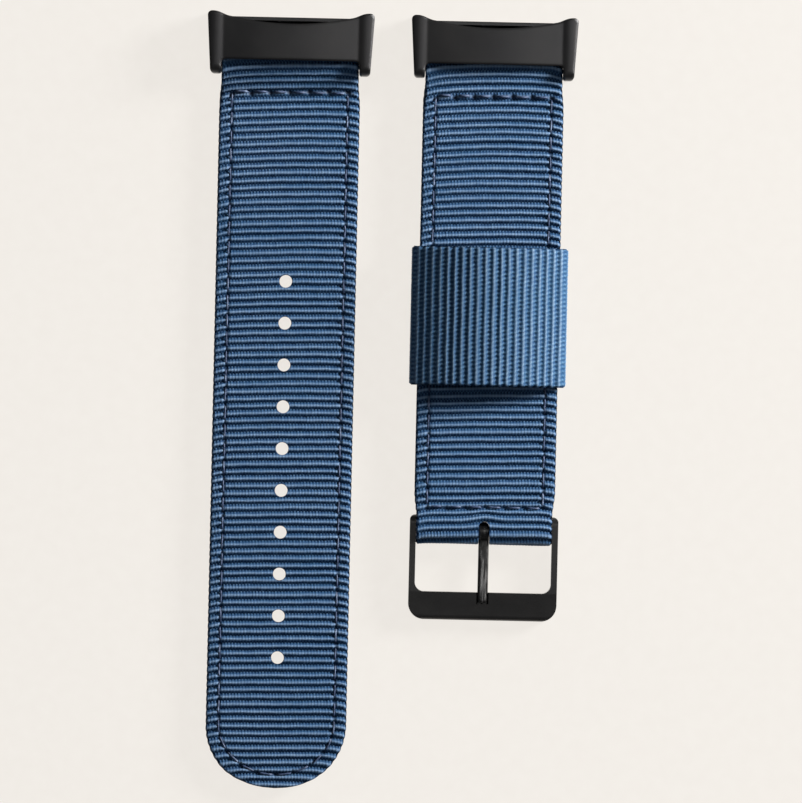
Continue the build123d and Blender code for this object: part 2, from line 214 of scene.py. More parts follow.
def ramp_up(offset):
    """Turn and straight length that lead a layer, offset from the bar's axis, to its loop."""
    low, high = 0.0, 1.2
    for _ in range(50):
        turn = (low + high) / 2
        run = (RAMP - (LOOP + RAMP_BEND) * math.sin(turn)) / math.cos(turn)
        rise = offset + RAMP_BEND * (1 - math.cos(turn)) + run * math.sin(turn)
        if rise < LOOP * math.cos(turn):
            low = turn
        else:
            high = turn
    return turn, run


def around_bar(route, under, over):
    """Lead a strip from its flat under layer round a bar to its flat upper layer."""
    turn_in, run_in = ramp_up(under)
    turn_out, run_out = ramp_up(over)
    route.arc(RAMP_BEND, -turn_in).line(run_in)
    route.arc(LOOP, math.pi + turn_in + turn_out)
    route.line(run_out).arc(RAMP_BEND, -turn_out)
    return route


# ---------------------------------------------------------------- materials

class Nodes:
    """A short way to write a node tree."""

    def __init__(self, name):
        self.material = bpy.data.materials.new(name)
        self.material.use_nodes = True
        self.tree = self.material.node_tree
        self.shader = self.tree.nodes["Principled BSDF"]

    def add(self, kind, settings=None, **inputs):
        node = self.tree.nodes.new("ShaderNode" + kind)
        for key, value in (settings or {}).items():
            setattr(node, key, value)
        for key, value in inputs.items():
            self.set(node, key, value)
        return node

    def set(self, node, key, value):
        socket = node.inputs[int(key[1:]) if key[0] == "i" and key[1:].isdigit() else key.replace("_", " ")]
        if isinstance(value, bpy.types.NodeSocket):
            self.tree.links.new(value, socket)
        else:
            socket.default_value = value

    def math(self, operation, a, b=0.0):
        return self.add("Math", {"operation": operation}, i0=a, i1=b).outputs[0]

    def mix(self, factor, a, b, blend="MIX"):
        node = self.add("Mix", {"data_type": "RGBA", "blend_type": blend}, i0=factor, i6=a, i7=b)
        return node.outputs[2]

    def noise(self, vector, scale, detail=3.0, roughness=0.5):
        return self.add(
            "TexNoise", None, Vector=vector, Scale=scale, Detail=detail, Roughness=roughness
        ).outputs["Fac"]

    def remap(self, value, low, high, to_low=0.0, to_high=1.0):
        node = self.add("MapRange", None, Value=value)
        for key, number in zip(("From Min", "From Max", "To Min", "To Max"), (low, high, to_low, to_high)):
            node.inputs[key].default_value = number
        return node.outputs[0]

    def bump(self, height, distance, strength=1.0, normal=None):
        node = self.add("Bump", None, Height=height, Distance=distance, Strength=strength)
        if normal is not None:
            self.tree.links.new(normal, node.inputs["Normal"])
        return node.outputs[0]

    def finish(self, **inputs):
        for key, value in inputs.items():
            self.set(self.shader, key, value)
        return self.material


def webbing_material(name, crest, middle, valley, gap_low=0.98, gap_high=0.20):
    """Ribbed nylon: crests painted pale as a highlight, valleys and gaps between yarns painted dark as shade,
    fine filaments along the warp.

    gap_low and gap_high are how strongly the painted shade in the gaps shows in valleys and on crests.
    """
    n = Nodes(name)
    weave = n.add("Attribute", {"attribute_name": "weave"}).outputs["Vector"]
    cloth = n.add("Attribute", {"attribute_name": "cloth"}).outputs["Vector"]
    parts = n.add("SeparateXYZ", None, Vector=weave).outputs
    height, yarn, painted_shade = parts[0], parts[1], parts[2]
    stretch = n.add("Mapping", None, Vector=cloth)
    stretch.inputs["Scale"].default_value = (22.0, 1.6, 1.0)
    filaments = n.noise(stretch.outputs[0], 1.0, 4.0, 0.65)
    streaks = n.add("Mapping", None, Vector=cloth)
    streaks.inputs["Scale"].default_value = (0.16, 0.95, 1.0)
    rib_tone = n.noise(streaks.outputs[0], 1.0, 2.0)
    patches = n.noise(cloth, 0.07, 3.0)
    mottling = n.noise(cloth, 1.3, 4.0, 0.65)
    # Colour by height: crests painted pale as a highlight, valleys painted dark as shade, and the gaps
    # between yarns painted darker as shade, most of all in valleys
    low_yarn = n.mix(0.36, middle, crest)
    base = n.mix(n.remap(height, 0.10, 0.62), low_yarn, middle)
    base = n.mix(n.remap(height, 0.64, 1.0), base, crest)
    between_yarns = n.remap(yarn, 0.2, 0.9, 1.0, 0.0)
    shown = n.remap(height, 0.45, 0.98, gap_low, gap_high)
    gap = n.math("MULTIPLY", between_yarns, shown)
    base = n.mix(gap, base, valley)
    # Painted glints: pale filament streaks mixed toward the painted crest highlight, more strongly the higher
    # the cloth
    pale_filaments = n.remap(filaments, 0.4, 0.75, 0.0, 0.28)
    painted_glints = n.math("MULTIPLY", pale_filaments, n.remap(height, 0.3, 0.8, 0.1, 1.0))
    base = n.mix(painted_glints, base, crest)
    dull = n.math("ADD", n.remap(patches, 0.3, 0.7, 0.0, 0.25), n.remap(rib_tone, 0.3, 0.7, 0.0, 0.30))
    base = n.mix(dull, base, middle)
    tint = n.mix(n.remap(mottling, 0.3, 0.7), (0.80, 0.88, 0.96, 1), (1.12, 1.08, 1.04, 1))
    base = n.mix(1.0, base, tint, "MULTIPLY")
    # Painted shade: near black in sewn channels, needle holes, on the edges and on hole walls
    base = n.mix(painted_shade, base, (0.003, 0.009, 0.030, 1))
    return n.finish(
        Base_Color=base, Roughness=n.remap(filaments, 0.3, 0.7, 0.62, 0.46),
        Normal=n.bump(filaments, 0.00004, 0.9), Specular_IOR_Level=n.remap(height, 0.3, 0.9, 0.05, 0.24),
    )


def thread_material():
    """Bonded sewing thread, twisted, dark violet navy, with pale patches painted on as glints of light."""
    n = Nodes("seam_thread")
    place = n.add("TexCoord").outputs["Object"]
    fibres = n.noise(place, 9000.0, 3.0)
    patches = n.noise(place, 700.0, 2.0)
    colour = n.mix(n.remap(fibres, 0.3, 0.7), (0.014, 0.026, 0.068, 1), (0.052, 0.084, 0.165, 1))
    # Pale patches painted on as glints where the thread catches the light
    colour = n.mix(n.remap(patches, 0.5, 0.68, 0.0, 0.6), colour, (0.19, 0.25, 0.37, 1))
    return n.finish(
        Base_Color=colour, Roughness=n.remap(fibres, 0.3, 0.7, 0.48, 0.62),
        Normal=n.bump(fibres, 0.00003, 0.6), Specular_IOR_Level=0.4,
    )


def metal_material(name, dark, light, rough, metallic, painted_dark_heights=None, soften=None, streaks=None):
    """Black plated steel: a soft satin grain, faint clouding, and edges painted a little brighter as a
    highlight.

    From the first to the second painted dark height, in millimetres, the colour is painted near black as
    shade inside the adapter, and the surface turns rougher.
    Soften rounds the shading of corners and valleys, as thick plating does.
    Streaks are long painted reflection streaks of that brightness, along Y.
    """
    n = Nodes(name)
    place = n.add("TexCoord").outputs["Object"]
    grit = n.noise(place, 16000.0, 2.0, 0.6)
    cloud = n.noise(place, 160.0, 3.0)
    edge = n.add("NewGeometry").outputs["Pointiness"]
    colour = n.mix(n.remap(cloud, 0.3, 0.7), dark, light)
    # Edges painted a little brighter as a highlight
    colour = n.mix(n.remap(edge, 0.53, 0.62, 0.0, 0.18), colour, (0.09, 0.088, 0.086, 1))
    if streaks is not None:
        # Painted reflection: long bright streaks along Y
        stretch = n.add("Mapping", None, Vector=place)
        stretch.inputs["Scale"].default_value = (2200.0, 260.0, 900.0)
        painted_glints = n.noise(stretch.outputs[0], 1.0, 2.0)
        colour = n.mix(n.remap(painted_glints, 0.50, 0.66), colour, (streaks, 0.98 * streaks, 0.96 * streaks, 1))
    clouding = n.remap(cloud, 0.3, 0.7, -0.03, 0.03)
    roughness = n.math("ADD", n.remap(grit, 0.3, 0.7, rough - 0.05, rough + 0.05), clouding)
    if painted_dark_heights is not None:
        height = n.add("SeparateXYZ", None, Vector=place).outputs[2]
        inside = n.remap(height, painted_dark_heights[0] * MM, painted_dark_heights[1] * MM)
        # Painted shade: near black where the part lies in shade inside the adapter
        colour = n.mix(inside, colour, (0.002, 0.002, 0.0025, 1))
        roughness = n.math("ADD", roughness, n.math("MULTIPLY", inside, 0.3))
    softened = None
    if soften is not None:
        softened = n.add("Bevel", {"samples": 8}, Radius=soften * MM).outputs[0]
    return n.finish(
        Base_Color=colour, Roughness=roughness, Metallic=metallic,
        Normal=n.bump(grit, 0.000006, 0.3, softened),
    )


def steel_material(name, colour, rough, axis_scale):
    """Turned or drawn bare steel with fine marks along one direction."""
    n = Nodes(name)
    place = n.add("TexCoord").outputs["Object"]
    stretch = n.add("Mapping", None, Vector=place)
    stretch.inputs["Scale"].default_value = axis_scale
    marks = n.noise(stretch.outputs[0], 1.0, 3.0)
    darker = tuple(0.7 * c for c in colour[:3]) + (1,)
    return n.finish(
        Base_Color=n.mix(n.remap(marks, 0.3, 0.7), darker, colour), Metallic=1.0,
        Roughness=n.remap(marks, 0.3, 0.7, rough - 0.06, rough + 0.08),
        Normal=n.bump(marks, 0.00001, 0.4),
    )


# Crest, middle and valley colours: the pale crest is painted highlight and the dark valley is painted shade
STRAP_CLOTH = webbing_material(
    "strap_webbing", (0.222, 0.335, 0.505, 1), (0.022, 0.080, 0.172, 1), (0.0006, 0.012, 0.054, 1)
)
# The keeper's copy of the webbing, with a dimmer painted crest highlight and lighter painted shade in its
# valleys and gaps
KEEPER_CLOTH = webbing_material(
    "keeper_webbing", (0.212, 0.320, 0.455, 1), (0.028, 0.090, 0.175, 1), (0.0030, 0.026, 0.088, 1),
    gap_low=0.85, gap_high=0.42,
)
SEWING = thread_material()
ADAPTER_METAL = metal_material(
    "adapter_metal", (0.034, 0.034, 0.036, 1), (0.046, 0.045, 0.046, 1), 0.40, 0.85, soften=0.6
)
# The base turns to painted shade, near black, from 4.1 mm down to 3.85 mm
BASE_METAL = metal_material(
    "base_metal", (0.050, 0.050, 0.052, 1), (0.064, 0.063, 0.064, 1), 0.34, 0.85, painted_dark_heights=(4.1, 3.85)
)
# The latch is painted darker than the shell, and near black above 1.2 mm, as shade deep inside the adapter
LATCH_METAL = metal_material(
    "latch_metal", (0.024, 0.024, 0.025, 1), (0.034, 0.034, 0.034, 1), 0.42, 0.8, painted_dark_heights=(0.9, 1.2)
)
BUCKLE_METAL = metal_material("buckle_metal", (0.050, 0.049, 0.049, 1), (0.066, 0.064, 0.063, 1), 0.32, 0.85)
# The tongue carries painted reflection streaks
TONGUE_METAL = metal_material(
    "tongue_metal", (0.040, 0.039, 0.038, 1), (0.056, 0.054, 0.053, 1), 0.24, 0.9, soften=0.5, streaks=0.30
)
BAR_STEEL = steel_material("bar_steel", (0.56, 0.56, 0.57, 1), 0.28, (9000, 400, 400))
SPRING_STEEL = steel_material("spring_steel", (0.48, 0.48, 0.49, 1), 0.3, (2500, 2500, 2500))


# ---------------------------------------------------------------- mesh helpers

def make_object(name, vertices, faces, material, smooth=True):
    """A mesh object from points in millimetres."""
    mesh = bpy.data.meshes.new(name)
    mesh.from_pydata((np.asarray(vertices) * MM).tolist(), [], faces)
    mesh.materials.append(material)
    if smooth:
        mesh.shade_smooth()
    mesh.update()
    piece = bpy.data.objects.new(name, mesh)
    bpy.context.scene.collection.objects.link(piece)
    return piece


def ring_faces(rows, ring, closed=False):
    """Quads between rows of a tube whose section has ring points."""
    i = np.arange(rows if closed else rows - 1)[:, None]
    j = np.arange(ring)[None, :]
    a = i * ring + j
    b = i * ring + (j + 1) % ring
    ahead = (i + 1) % rows
    return np.stack([a, b, ahead * ring + (j + 1) % ring, ahead * ring + j], axis=-1).reshape(-1, 4)


def clean(mesh):
    """Merge points that fell together and drop faces with no area."""
    work = bmesh.new()
    work.from_mesh(mesh)
    bmesh.ops.remove_doubles(work, verts=work.verts, dist=2e-7)
    bmesh.ops.dissolve_degenerate(work, edges=work.edges, dist=1e-7)
    bmesh.ops.recalc_face_normals(work, faces=work.faces)
    work.to_mesh(mesh)
    work.free()


def store(mesh, name, values):
    """Keep a value per point on the mesh, for its material."""
    attribute = mesh.attributes.new(name, "FLOAT_VECTOR", "POINT")
    attribute.data.foreach_set("vector", np.asarray(values, np.float32).ravel())


# ---------------------------------------------------------------- webbing

def crest_shape(phase, sharpness):
    """Height of a rib's crest, from 0 to 1, at a share of the way across the rib."""
    return np.abs(np.sin(np.pi * phase)) ** sharpness


PHASES = np.array([0.0, 0.12, 0.28, 0.42, 0.58, 0.72, 0.88])


def webbing(name, route, half_width, place, material, kind, fine, groove=None, nudge=None, seen_inside=False):
    """One strip of ribbed webbing, of a kind of weave, laid along a route.

    half_width gives the strip's half width at the route's u, place turns (across, u, v) into
    millimetres of the shared frame, and fine says where along the route ribs get all their rows.
    groove gives how deep the sewing pulls the outer face in, and nudge how far a point of that
    face is shifted along the strip. A strip seen inside has yarns on its inner face as well.
    """
    ribs = round(route.length / kind["rib"])
    starts = np.linspace(0, route.length, ribs + 1)
    jitter = RIB_JITTER * rng.standard_normal(ribs - 1)
    starts[1:-1] += np.clip(jitter, -RIB_JITTER_LIMIT, RIB_JITTER_LIMIT)
    s_rows, rib_rows, phase_rows = [], [], []
    for i in range(ribs):
        phases = PHASES if fine(starts[i]) else PHASES[[0, 2, 3, 5]]
        s_rows.extend(starts[i] + phases * (starts[i + 1] - starts[i]))
        rib_rows.extend([i] * len(phases))
        phase_rows.extend(phases)
    s = np.array(s_rows + [route.length])
    rib_index = np.array(rib_rows + [ribs - 1])
    phase = np.array(phase_rows + [1.0])
    rib_lift = 1 + RIB_LIFT * rng.standard_normal(ribs)[rib_index]
    u, v, heading = route.at(s)
    width = half_width(u)

    column = STRAP_WEAVE["yarn"] / 4
    across = np.arange(-STRAP_HALF - column / 2, STRAP_HALF + column, column)
    inner_across = across[::2][::-1] if seen_inside else np.linspace(STRAP_HALF, -STRAP_HALF, 15)
    pitch = kind["yarn"]
    unevenness = 1 - 0.35 * rng.random((97, 61)) ** 1.5

    def face(a, outer):
        """Places across, heights over the layer's middle, shifts along it, and the material's values."""
        grid = np.broadcast_to(a, (len(s), len(a)))
        x = np.clip(grid, -width[:, None], width[:, None])
        wave = 0.018 * np.sin(0.55 * x + 0.35 * s[:, None]) + 0.012 * np.sin(1.7 * x - 0.9 * s[:, None])
        share = phase[:, None]
        crest = crest_shape(share, kind["sharpness"])
        slanted = x / pitch + kind["lean"] * (share - 0.5)
        yarn = 0.5 + 0.5 * np.cos(2 * np.pi * slanted + np.pi * rib_index[:, None])
        yarn_number = np.floor(x / pitch + 0.5 * rib_index[:, None] + 0.5).astype(int) % 61
        yarn = yarn * unevenness[rib_index[:, None] % 97, yarn_number]
        margin = np.clip((width[:, None] - np.abs(x)) / EDGE_ROUND, 0, 1)
        rounding = EDGE_ROUND * (1 - np.sqrt(1 - (1 - margin) ** 2))
        depth = kind["depth"] * rib_lift[:, None] * (1 - crest)
        yarn_depth = YARN_DEPTH * (kind["on_crest"] + kind["in_valley"] * (1 - crest))
        depth = depth + yarn_depth * (1 - yarn)
        depth = depth + FUZZ * rng.random(x.shape) * (np.abs(grid) < width[:, None])
        sewn = groove(x, u[:, None] + 0 * x) if (outer and groove) else 0 * x
        height = LAYER / 2 - depth - rounding - sewn
        droop = kind["droop"] * np.clip(1 - (width[:, None] - np.abs(x)) / DROOP_REACH, 0, 1) ** 2
        shift = wave + droop
        if outer and nudge:
            shift = shift + nudge(x, u[:, None] + 0 * x)
        cloth = np.stack([x, s[:, None] + 0 * x, 0 * x + (0 if outer else 7)], axis=-1)
        # Painted shade in the sewing channel and needle holes, and towards the rounded edges
        painted_shade = np.clip(sewn / 0.45 + 0.5 * (1 - margin) ** 2, 0, 0.92)
        weave = np.stack([crest + 0 * x, yarn, painted_shade], axis=-1)
        return x, height, shift, cloth, weave

    x_out, h_out, shift_out, cloth_out, weave_out = face(across, True)
    x_in, h_in, shift_in, cloth_in, weave_in = face(inner_across, False)
    edge_crest = crest_shape(phase, STRAP_WEAVE["sharpness"])[:, None]
    bulge = EDGE_BULGE * edge_crest * np.ones((1, 2))
    edge_x = width[:, None] + bulge
    edge_h = np.array([[0.22, -0.22]]) * LAYER + 0 * bulge
    edge_cloth = np.stack([edge_x, s[:, None] + 0 * edge_x, 0 * edge_x], axis=-1)
    flat = 0 * edge_x
    # The edges' faces get a dimmer crest and some painted shade
    edge_weave = np.stack([0.55 * edge_crest + flat, 0.4 + flat, 0.35 + flat], axis=-1)

    x = np.concatenate([x_out, edge_x, x_in, -edge_x], axis=1)
    height = np.concatenate([h_out, edge_h, -h_in, -edge_h], axis=1)
    right_shift = shift_out[:, -1:] * [[1.0, 0.6]]
    left_shift = shift_out[:, :1] * [[0.6, 1.0]]
    shift = np.concatenate([shift_out, right_shift, 0 * shift_in, left_shift], axis=1)
    cloth = np.concatenate([cloth_out, edge_cloth, cloth_in, edge_cloth], axis=1)
    weave = np.concatenate([weave_out, edge_weave, weave_in, edge_weave], axis=1)

    normal_u, normal_v = np.sin(heading)[:, None], -np.cos(heading)[:, None]
    ends = np.minimum(s, route.length - s)[:, None]
    slide = shift * np.clip(ends / 3, 0, 1)
    points_u = u[:, None] + normal_u * height + np.cos(heading)[:, None] * slide
    points_v = v[:, None] + normal_v * height + np.sin(heading)[:, None] * slide
    points = place(x, points_u, points_v).reshape(-1, 3)

    rows, ring = x.shape
    faces = ring_faces(rows, ring).tolist()
    faces.append(list(range(ring))[::-1])
    faces.append([(rows - 1) * ring + j for j in range(ring)])
    piece = make_object(name, points, faces, material)
    store(piece.data, "cloth", cloth.reshape(-1, 3))
    store(piece.data, "weave", weave.reshape(-1, 3))
    clean(piece.data)
    return piece


def along_y(middle_x):
    """Lay a strip whose route is in the Y-Z plane and whose width is along X."""
    return lambda across, u, v: np.stack([middle_x + across, u, v], axis=-1)


def prisms(name, outlines, z_low, z_high, material):
    """Upright prisms over outlines of (x, y) points, in one mesh."""
    points, faces = [], []
    for outline in outlines:
        start, count = len(points), len(outline)
        points += [(x, y, z) for z in (z_low, z_high) for x, y in outline]
        for i in range(count):
            j = (i + 1) % count
            faces.append([start + i, start + j, start + count + j, start + count + i])
        faces.append([start + i for i in range(count)][::-1])
        faces.append([start + count + i for i in range(count)])
    return make_object(name, points, faces, material, smooth=False)


def punch(piece, outlines, up_to=6):
    """Cut holes in a piece, from below up to a height, and give their walls a dark colour: partly fused cut
    nylon, partly painted shade.
    """
    cutter = prisms("punch", outlines, -1, up_to, piece.data.materials[0])
    count = len(cutter.data.vertices)
    store(cutter.data, "cloth", np.zeros((count, 3)))
    store(cutter.data, "weave", np.tile(CUT_WALL, (count, 1)))
    cut = piece.modifiers.new("cut", "BOOLEAN")
    cut.operation = "DIFFERENCE"
    cut.solver = "MANIFOLD"
    cut.object = cutter
    bpy.context.view_layer.objects.active = piece
    bpy.ops.object.modifier_apply(modifier=cut.name)
    bpy.data.objects.remove(cutter)


def circle(x, y, radius, count=28):
    turns = 2 * np.pi * np.arange(count) / count
    return [(x + radius * math.cos(a), y + radius * math.sin(a)) for a in turns]


# ---------------------------------------------------------------- sewing

def even(points, spacing):
    """Points at an even spacing along a polyline, with the distance to each."""
    points = np.asarray(points, float)
    along = np.append(0, np.cumsum(np.linalg.norm(np.diff(points, axis=0), axis=1)))
    count = max(2, round(along[-1] / spacing) + 1)
    s = np.linspace(0, along[-1], count)
    return np.stack([np.interp(s, along, points[:, k]) for k in range(points.shape[1])], axis=-1), s


def half_ellipse(wide, deep, middle_y, count=60):
    """The round end of a seam, from its left to its right."""
    turns = np.linspace(math.pi, 2 * math.pi, count)
    return [(wide * math.cos(a), middle_y + deep * math.sin(a)) for a in turns]


SEAM_HALF = STRAP_HALF - SIDE_INSET
tip_start = tip_y + TIP_DEPTH
long_row = long_pin.y - CROSS_ROW
short_row = short_pin.y - CROSS_ROW
buckle_row = buckle_pin.y + BUCKLE_ROW
long_perimeter = (
    [(-SEAM_HALF, long_row)]
    + half_ellipse(SEAM_HALF, TIP_DEPTH - TIP_INSET, tip_start)
    + [(SEAM_HALF, long_row)]
)


def cross_seam(y):
    return [(-SEAM_HALF, y), (SEAM_HALF, y)]


LONG_SEAMS = [(long_perimeter, SIDE_STITCHES), (cross_seam(long_row), ADAPTER_STITCHES)]
SHORT_SEAMS = [
    ([(-SEAM_HALF, short_row), (-SEAM_HALF, buckle_row)], SIDE_STITCHES),
    ([(SEAM_HALF, short_row), (SEAM_HALF, buckle_row)], SIDE_STITCHES),
    (cross_seam(short_row), ADAPTER_STITCHES),
    (cross_seam(buckle_row), BUCKLE_STITCHES),
]


def needle_holes(seam):
    """Where the needle went through, evenly along one seam."""
    points, s = even(seam, 0.1)
    count = round(s[-1] / STITCH)
    wanted = np.linspace(0, s[-1], count + 1)
    return np.stack([np.interp(wanted, s, points[:, k]) for k in range(2)], axis=-1), wanted


def distance_to(seam, spots):
    """Distance from each spot to a seam's polyline."""
    nearest = np.full(len(spots), 9.0)
    for a, b in zip(np.array(seam[:-1]), np.array(seam[1:])):
        ab = b - a
        share = np.clip(((spots - a) @ ab) / (ab @ ab), 0, 1)
        nearest = np.minimum(nearest, np.linalg.norm(spots - a - share[:, None] * ab, axis=1))
    return nearest


def sewn_in(seams):
    """How deep the sewing pulls in the cloth at (x, y): a narrow channel, and deeper needle holes."""
    all_holes = [needle_holes(line)[0] for line, _ in seams]

    def depth(x, y):
        flat = np.stack([x.ravel(), y.ravel()], axis=-1)
        total = np.zeros(len(flat))
        for (line, kind), holes in zip(seams, all_holes):
            distance = distance_to(line, flat)
            total = np.maximum(total, CHANNEL_DEPTH * np.exp(-((distance / CHANNEL_WIDTH) ** 2)))
            close = np.flatnonzero(distance < 1.0)
            for hole in holes:
                gap = np.linalg.norm((flat[close] - hole) / kind["hole"], axis=1)
                total[close] = np.maximum(total[close], kind["depth"] * np.exp(-(gap ** 2)))
        return total.reshape(x.shape)

    return depth


def thread_run(path, radius, sides=10, twist=1.1):
    """Points and faces of a three-ply twisted thread along a path of 3-D points."""
    path = np.asarray(path)
    heading = np.gradient(path, axis=0)
    heading /= np.linalg.norm(heading, axis=1, keepdims=True)
    side = np.cross(heading, (0.12, 0.05, 1.0))
    side /= np.linalg.norm(side, axis=1, keepdims=True)
    up = np.cross(side, heading)
    along = np.append(0, np.cumsum(np.linalg.norm(np.diff(path, axis=0), axis=1)))
    turn = 2 * np.pi * np.arange(sides) / sides
    ply = 1 + 0.16 * np.cos(3 * turn[None, :] - 2 * np.pi * along[:, None] / twist)
    reach = radius * ply[..., None]
    ring = reach * (np.cos(turn)[None, :, None] * side[:, None] + np.sin(turn)[None, :, None] * up[:, None])
    points = (path[:, None] + ring).reshape(-1, 3)
    faces = ring_faces(len(path), sides).tolist()
    faces.append(list(range(sides))[::-1])
    faces.append([(len(path) - 1) * sides + j for j in range(sides)])
    return points, faces


def seam_threads(name, seams, middle_x, low, high):
    """Lock stitches: one thread seen on the top face and one on the under face, meeting in each hole."""
    points, faces, start = [], [], 0
    for seam, kind in seams:
        line, s = even(seam, 0.12)
        holes = needle_holes(seam)[1]
        gap = np.abs(s[:, None] - holes[None, :]).min(axis=1)
        dip = np.exp(-((gap / kind["dip"]) ** 2))
        sway = SWAY * np.sin(s * 2.1)
        for surface, sign in ((high - kind["sink"], -1), (low + UNDER_SINK, 1)):
            z = surface + sign * DIVE * dip
            path = np.stack([middle_x + line[:, 0] + sway, line[:, 1], z], axis=-1)
            run_points, run_faces = thread_run(path, kind["thread"])
            points.append(run_points)
            faces.extend([[start + k for k in f] for f in run_faces])
            start += len(run_points)
    return make_object(name, np.concatenate(points), faces, SEWING)


# ---------------------------------------------------------------- the two straps

def lerp_width(y, pin, toward, narrow):
    """Half width near a bar: narrower where the strap goes between lugs or arms."""
    away = (y - pin) * toward
    return narrow + (STRAP_HALF - narrow) * np.clip((away - NARROW_REACH) / NARROW_FADE, 0, 1)


def long_half_width(u):
    """Half width of the long strap, down to nothing at its round tip."""
    width = lerp_width(u, long_pin.y, -1, LUG_HALF)
    into_tip = np.clip((tip_start - u) / TIP_DEPTH, 0, 1)
    return np.minimum(width, STRAP_HALF * np.sqrt(1 - into_tip ** 2) + 1e-4)


def short_half_width(u):
    near_lug = lerp_width(u, short_pin.y, -1, LUG_HALF)
    near_buckle = lerp_width(u, buckle_pin.y, 1, BUCKLE_HALF)
    return np.minimum(near_lug, near_buckle)


def long_lie(x, y):
    """How the long strap's ribs lie: a little askew, and arched more and more towards the adapter."""
    near = np.clip((y - tip_start) / (long_pin.y - tip_start), 0, 1)
    return -(LONG_SKEW + LONG_SKEW_MORE * near) * x + LONG_ARCH_MORE * near * (x / STRAP_HALF) ** 2


bar_z = long_pin.z
long_route = Route((tip_y, LAYER / 2), 0.0).line(long_pin.y - tip_y - RAMP)
around_bar(long_route, bar_z - LAYER / 2, LAYER * 1.5 + GAP - bar_z)
long_route.line(long_route.point[0] - tip_y)
long_webbing = webbing(
    "long_strap_webbing", long_route, long_half_width, along_y(long_pin.x), STRAP_CLOTH, STRAP_WEAVE,
    fine=lambda s: s > long_pin.y - tip_y, groove=sewn_in(LONG_SEAMS), nudge=long_lie,
)
punch(long_webbing, [
    circle(long_pin.x, long_pin.y - FIRST_HOLE - i * HOLE_PITCH, HOLE_RADIUS) for i in range(HOLE_COUNT)
])
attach(long_webbing, "long_strap")
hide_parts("long_webbing")

short_low = KEEPER_LIFT + LAYER / 2
short_high = short_low + LAYER + GAP
strip_joint_y = (short_pin.y + buckle_pin.y) / 2
short_route = Route((strip_joint_y + BUTT_HALF, short_low), 0.0)
short_route.line(short_pin.y - RAMP - strip_joint_y - BUTT_HALF)
around_bar(short_route, bar_z - short_low, short_high - bar_z)
short_route.line(short_route.point[0] - buckle_pin.y - RAMP)
around_bar(short_route, short_high - bar_z, bar_z - short_low)
short_route.line(strip_joint_y - BUTT_HALF - short_route.point[0])
half_way = short_route.length / 2


def short_lie(x, y):
    """How the short strap's ribs lie: askew, arched towards the adapter, parted round the tongue's slot."""
    near = np.clip((y - buckle_pin.y) / (short_pin.y - buckle_pin.y), 0, 1)
    along = (y - buckle_pin.y - TONGUE_SLOT_BACK - 0.3) / 1.3
    parted = SLOT_PARTING * np.exp(-((x / 1.7) ** 2) - along ** 2)
    arch = SHORT_ARCH + SHORT_ARCH_MORE * near ** 2
    return -SHORT_SKEW * x + arch * (x / STRAP_HALF) ** 2 - parted


short_webbing = webbing(
    "short_strap_webbing", short_route, short_half_width, along_y(short_pin.x), STRAP_CLOTH, STRAP_WEAVE,
    fine=lambda s: abs(s - half_way) < half_way / 2 + 5, groove=sewn_in(SHORT_SEAMS), nudge=short_lie,
)
slot_round = TONGUE_SLOT / 2
slot_front = buckle_pin.y - TONGUE_SLOT_FRONT
slot_top = buckle_pin.y + TONGUE_SLOT_BACK - slot_round
slot_outline = [
    (short_pin.x + slot_round * math.cos(a), slot_top + slot_round * math.sin(a))
    for a in np.linspace(0, math.pi, 16)
] + [(short_pin.x - slot_round, slot_front), (short_pin.x + slot_round, slot_front)]
punch(short_webbing, [slot_outline])
relief_back = buckle_pin.y + TONGUE_SLOT_BACK + RELIEF_BACK
relief_half = slot_round + RELIEF_SIDE
punch(short_webbing, [[
    (short_pin.x - relief_half, slot_front),
    (short_pin.x + relief_half, slot_front),
    (short_pin.x + relief_half, relief_back),
    (short_pin.x - relief_half, relief_back),
]], up_to=RELIEF_TOP)
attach(short_webbing, "short_strap")
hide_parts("short_webbing")

long_thread = seam_threads("long_strap_seam", LONG_SEAMS, long_pin.x, 0.0, THICK)
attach(long_thread, "long_strap")
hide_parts("long_seam_thread")
short_thread = seam_threads("short_strap_seam", SHORT_SEAMS, short_pin.x, KEEPER_LIFT, KEEPER_LIFT + THICK)
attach(short_thread, "short_strap")
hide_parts("short_seam_thread")


# ---------------------------------------------------------------- keeper

def keeper_route():
    """The keeper's section, from the butted ends underneath round to them again."""
    inset = LAYER / 2
    low_round, high_round = 1.35, 1.5
    big = (KEEPER_HALF ** 2 + KEEPER_ARC_HEIGHT ** 2) / (2 * KEEPER_ARC_HEIGHT)
    big_z = KEEPER_SIDE + KEEPER_ARC_HEIGHT - big
    corner_x = KEEPER_HALF - high_round
    corner_z = big_z + math.sqrt((big - high_round) ** 2 - corner_x ** 2)
    lean = math.asin(corner_x / (big - high_round))
    half_turn = math.pi / 2
    route = Route((BUTT_HALF, inset), 0.0).line(KEEPER_HALF - low_round - BUTT_HALF)
    route.arc(low_round - inset, half_turn).line(corner_z - low_round)
    route.arc(high_round - inset, half_turn - lean)
    route.arc(big - inset, 2 * lean)
    route.arc(high_round - inset, half_turn - lean).line(corner_z - low_round)
    route.arc(low_round - inset, half_turn).line(KEEPER_HALF - low_round - BUTT_HALF)
    return route


keeper_middle_y = (keeper_low.y + keeper_high.y) / 2
keeper_half_length = (keeper_high.y - keeper_low.y) / 2 - KEEPER_SIDE_MARGIN
keeper = webbing(
    "keeper_webbing", keeper_route(), lambda u: keeper_half_length + 0 * u,
    lambda across, u, v: np.stack([short_pin.x + u, keeper_middle_y + across, v], axis=-1),
    KEEPER_CLOTH, KEEPER_WEAVE, fine=lambda s: True, seen_inside=True,
)
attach(keeper, "keeper")
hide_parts("keeper_loop")


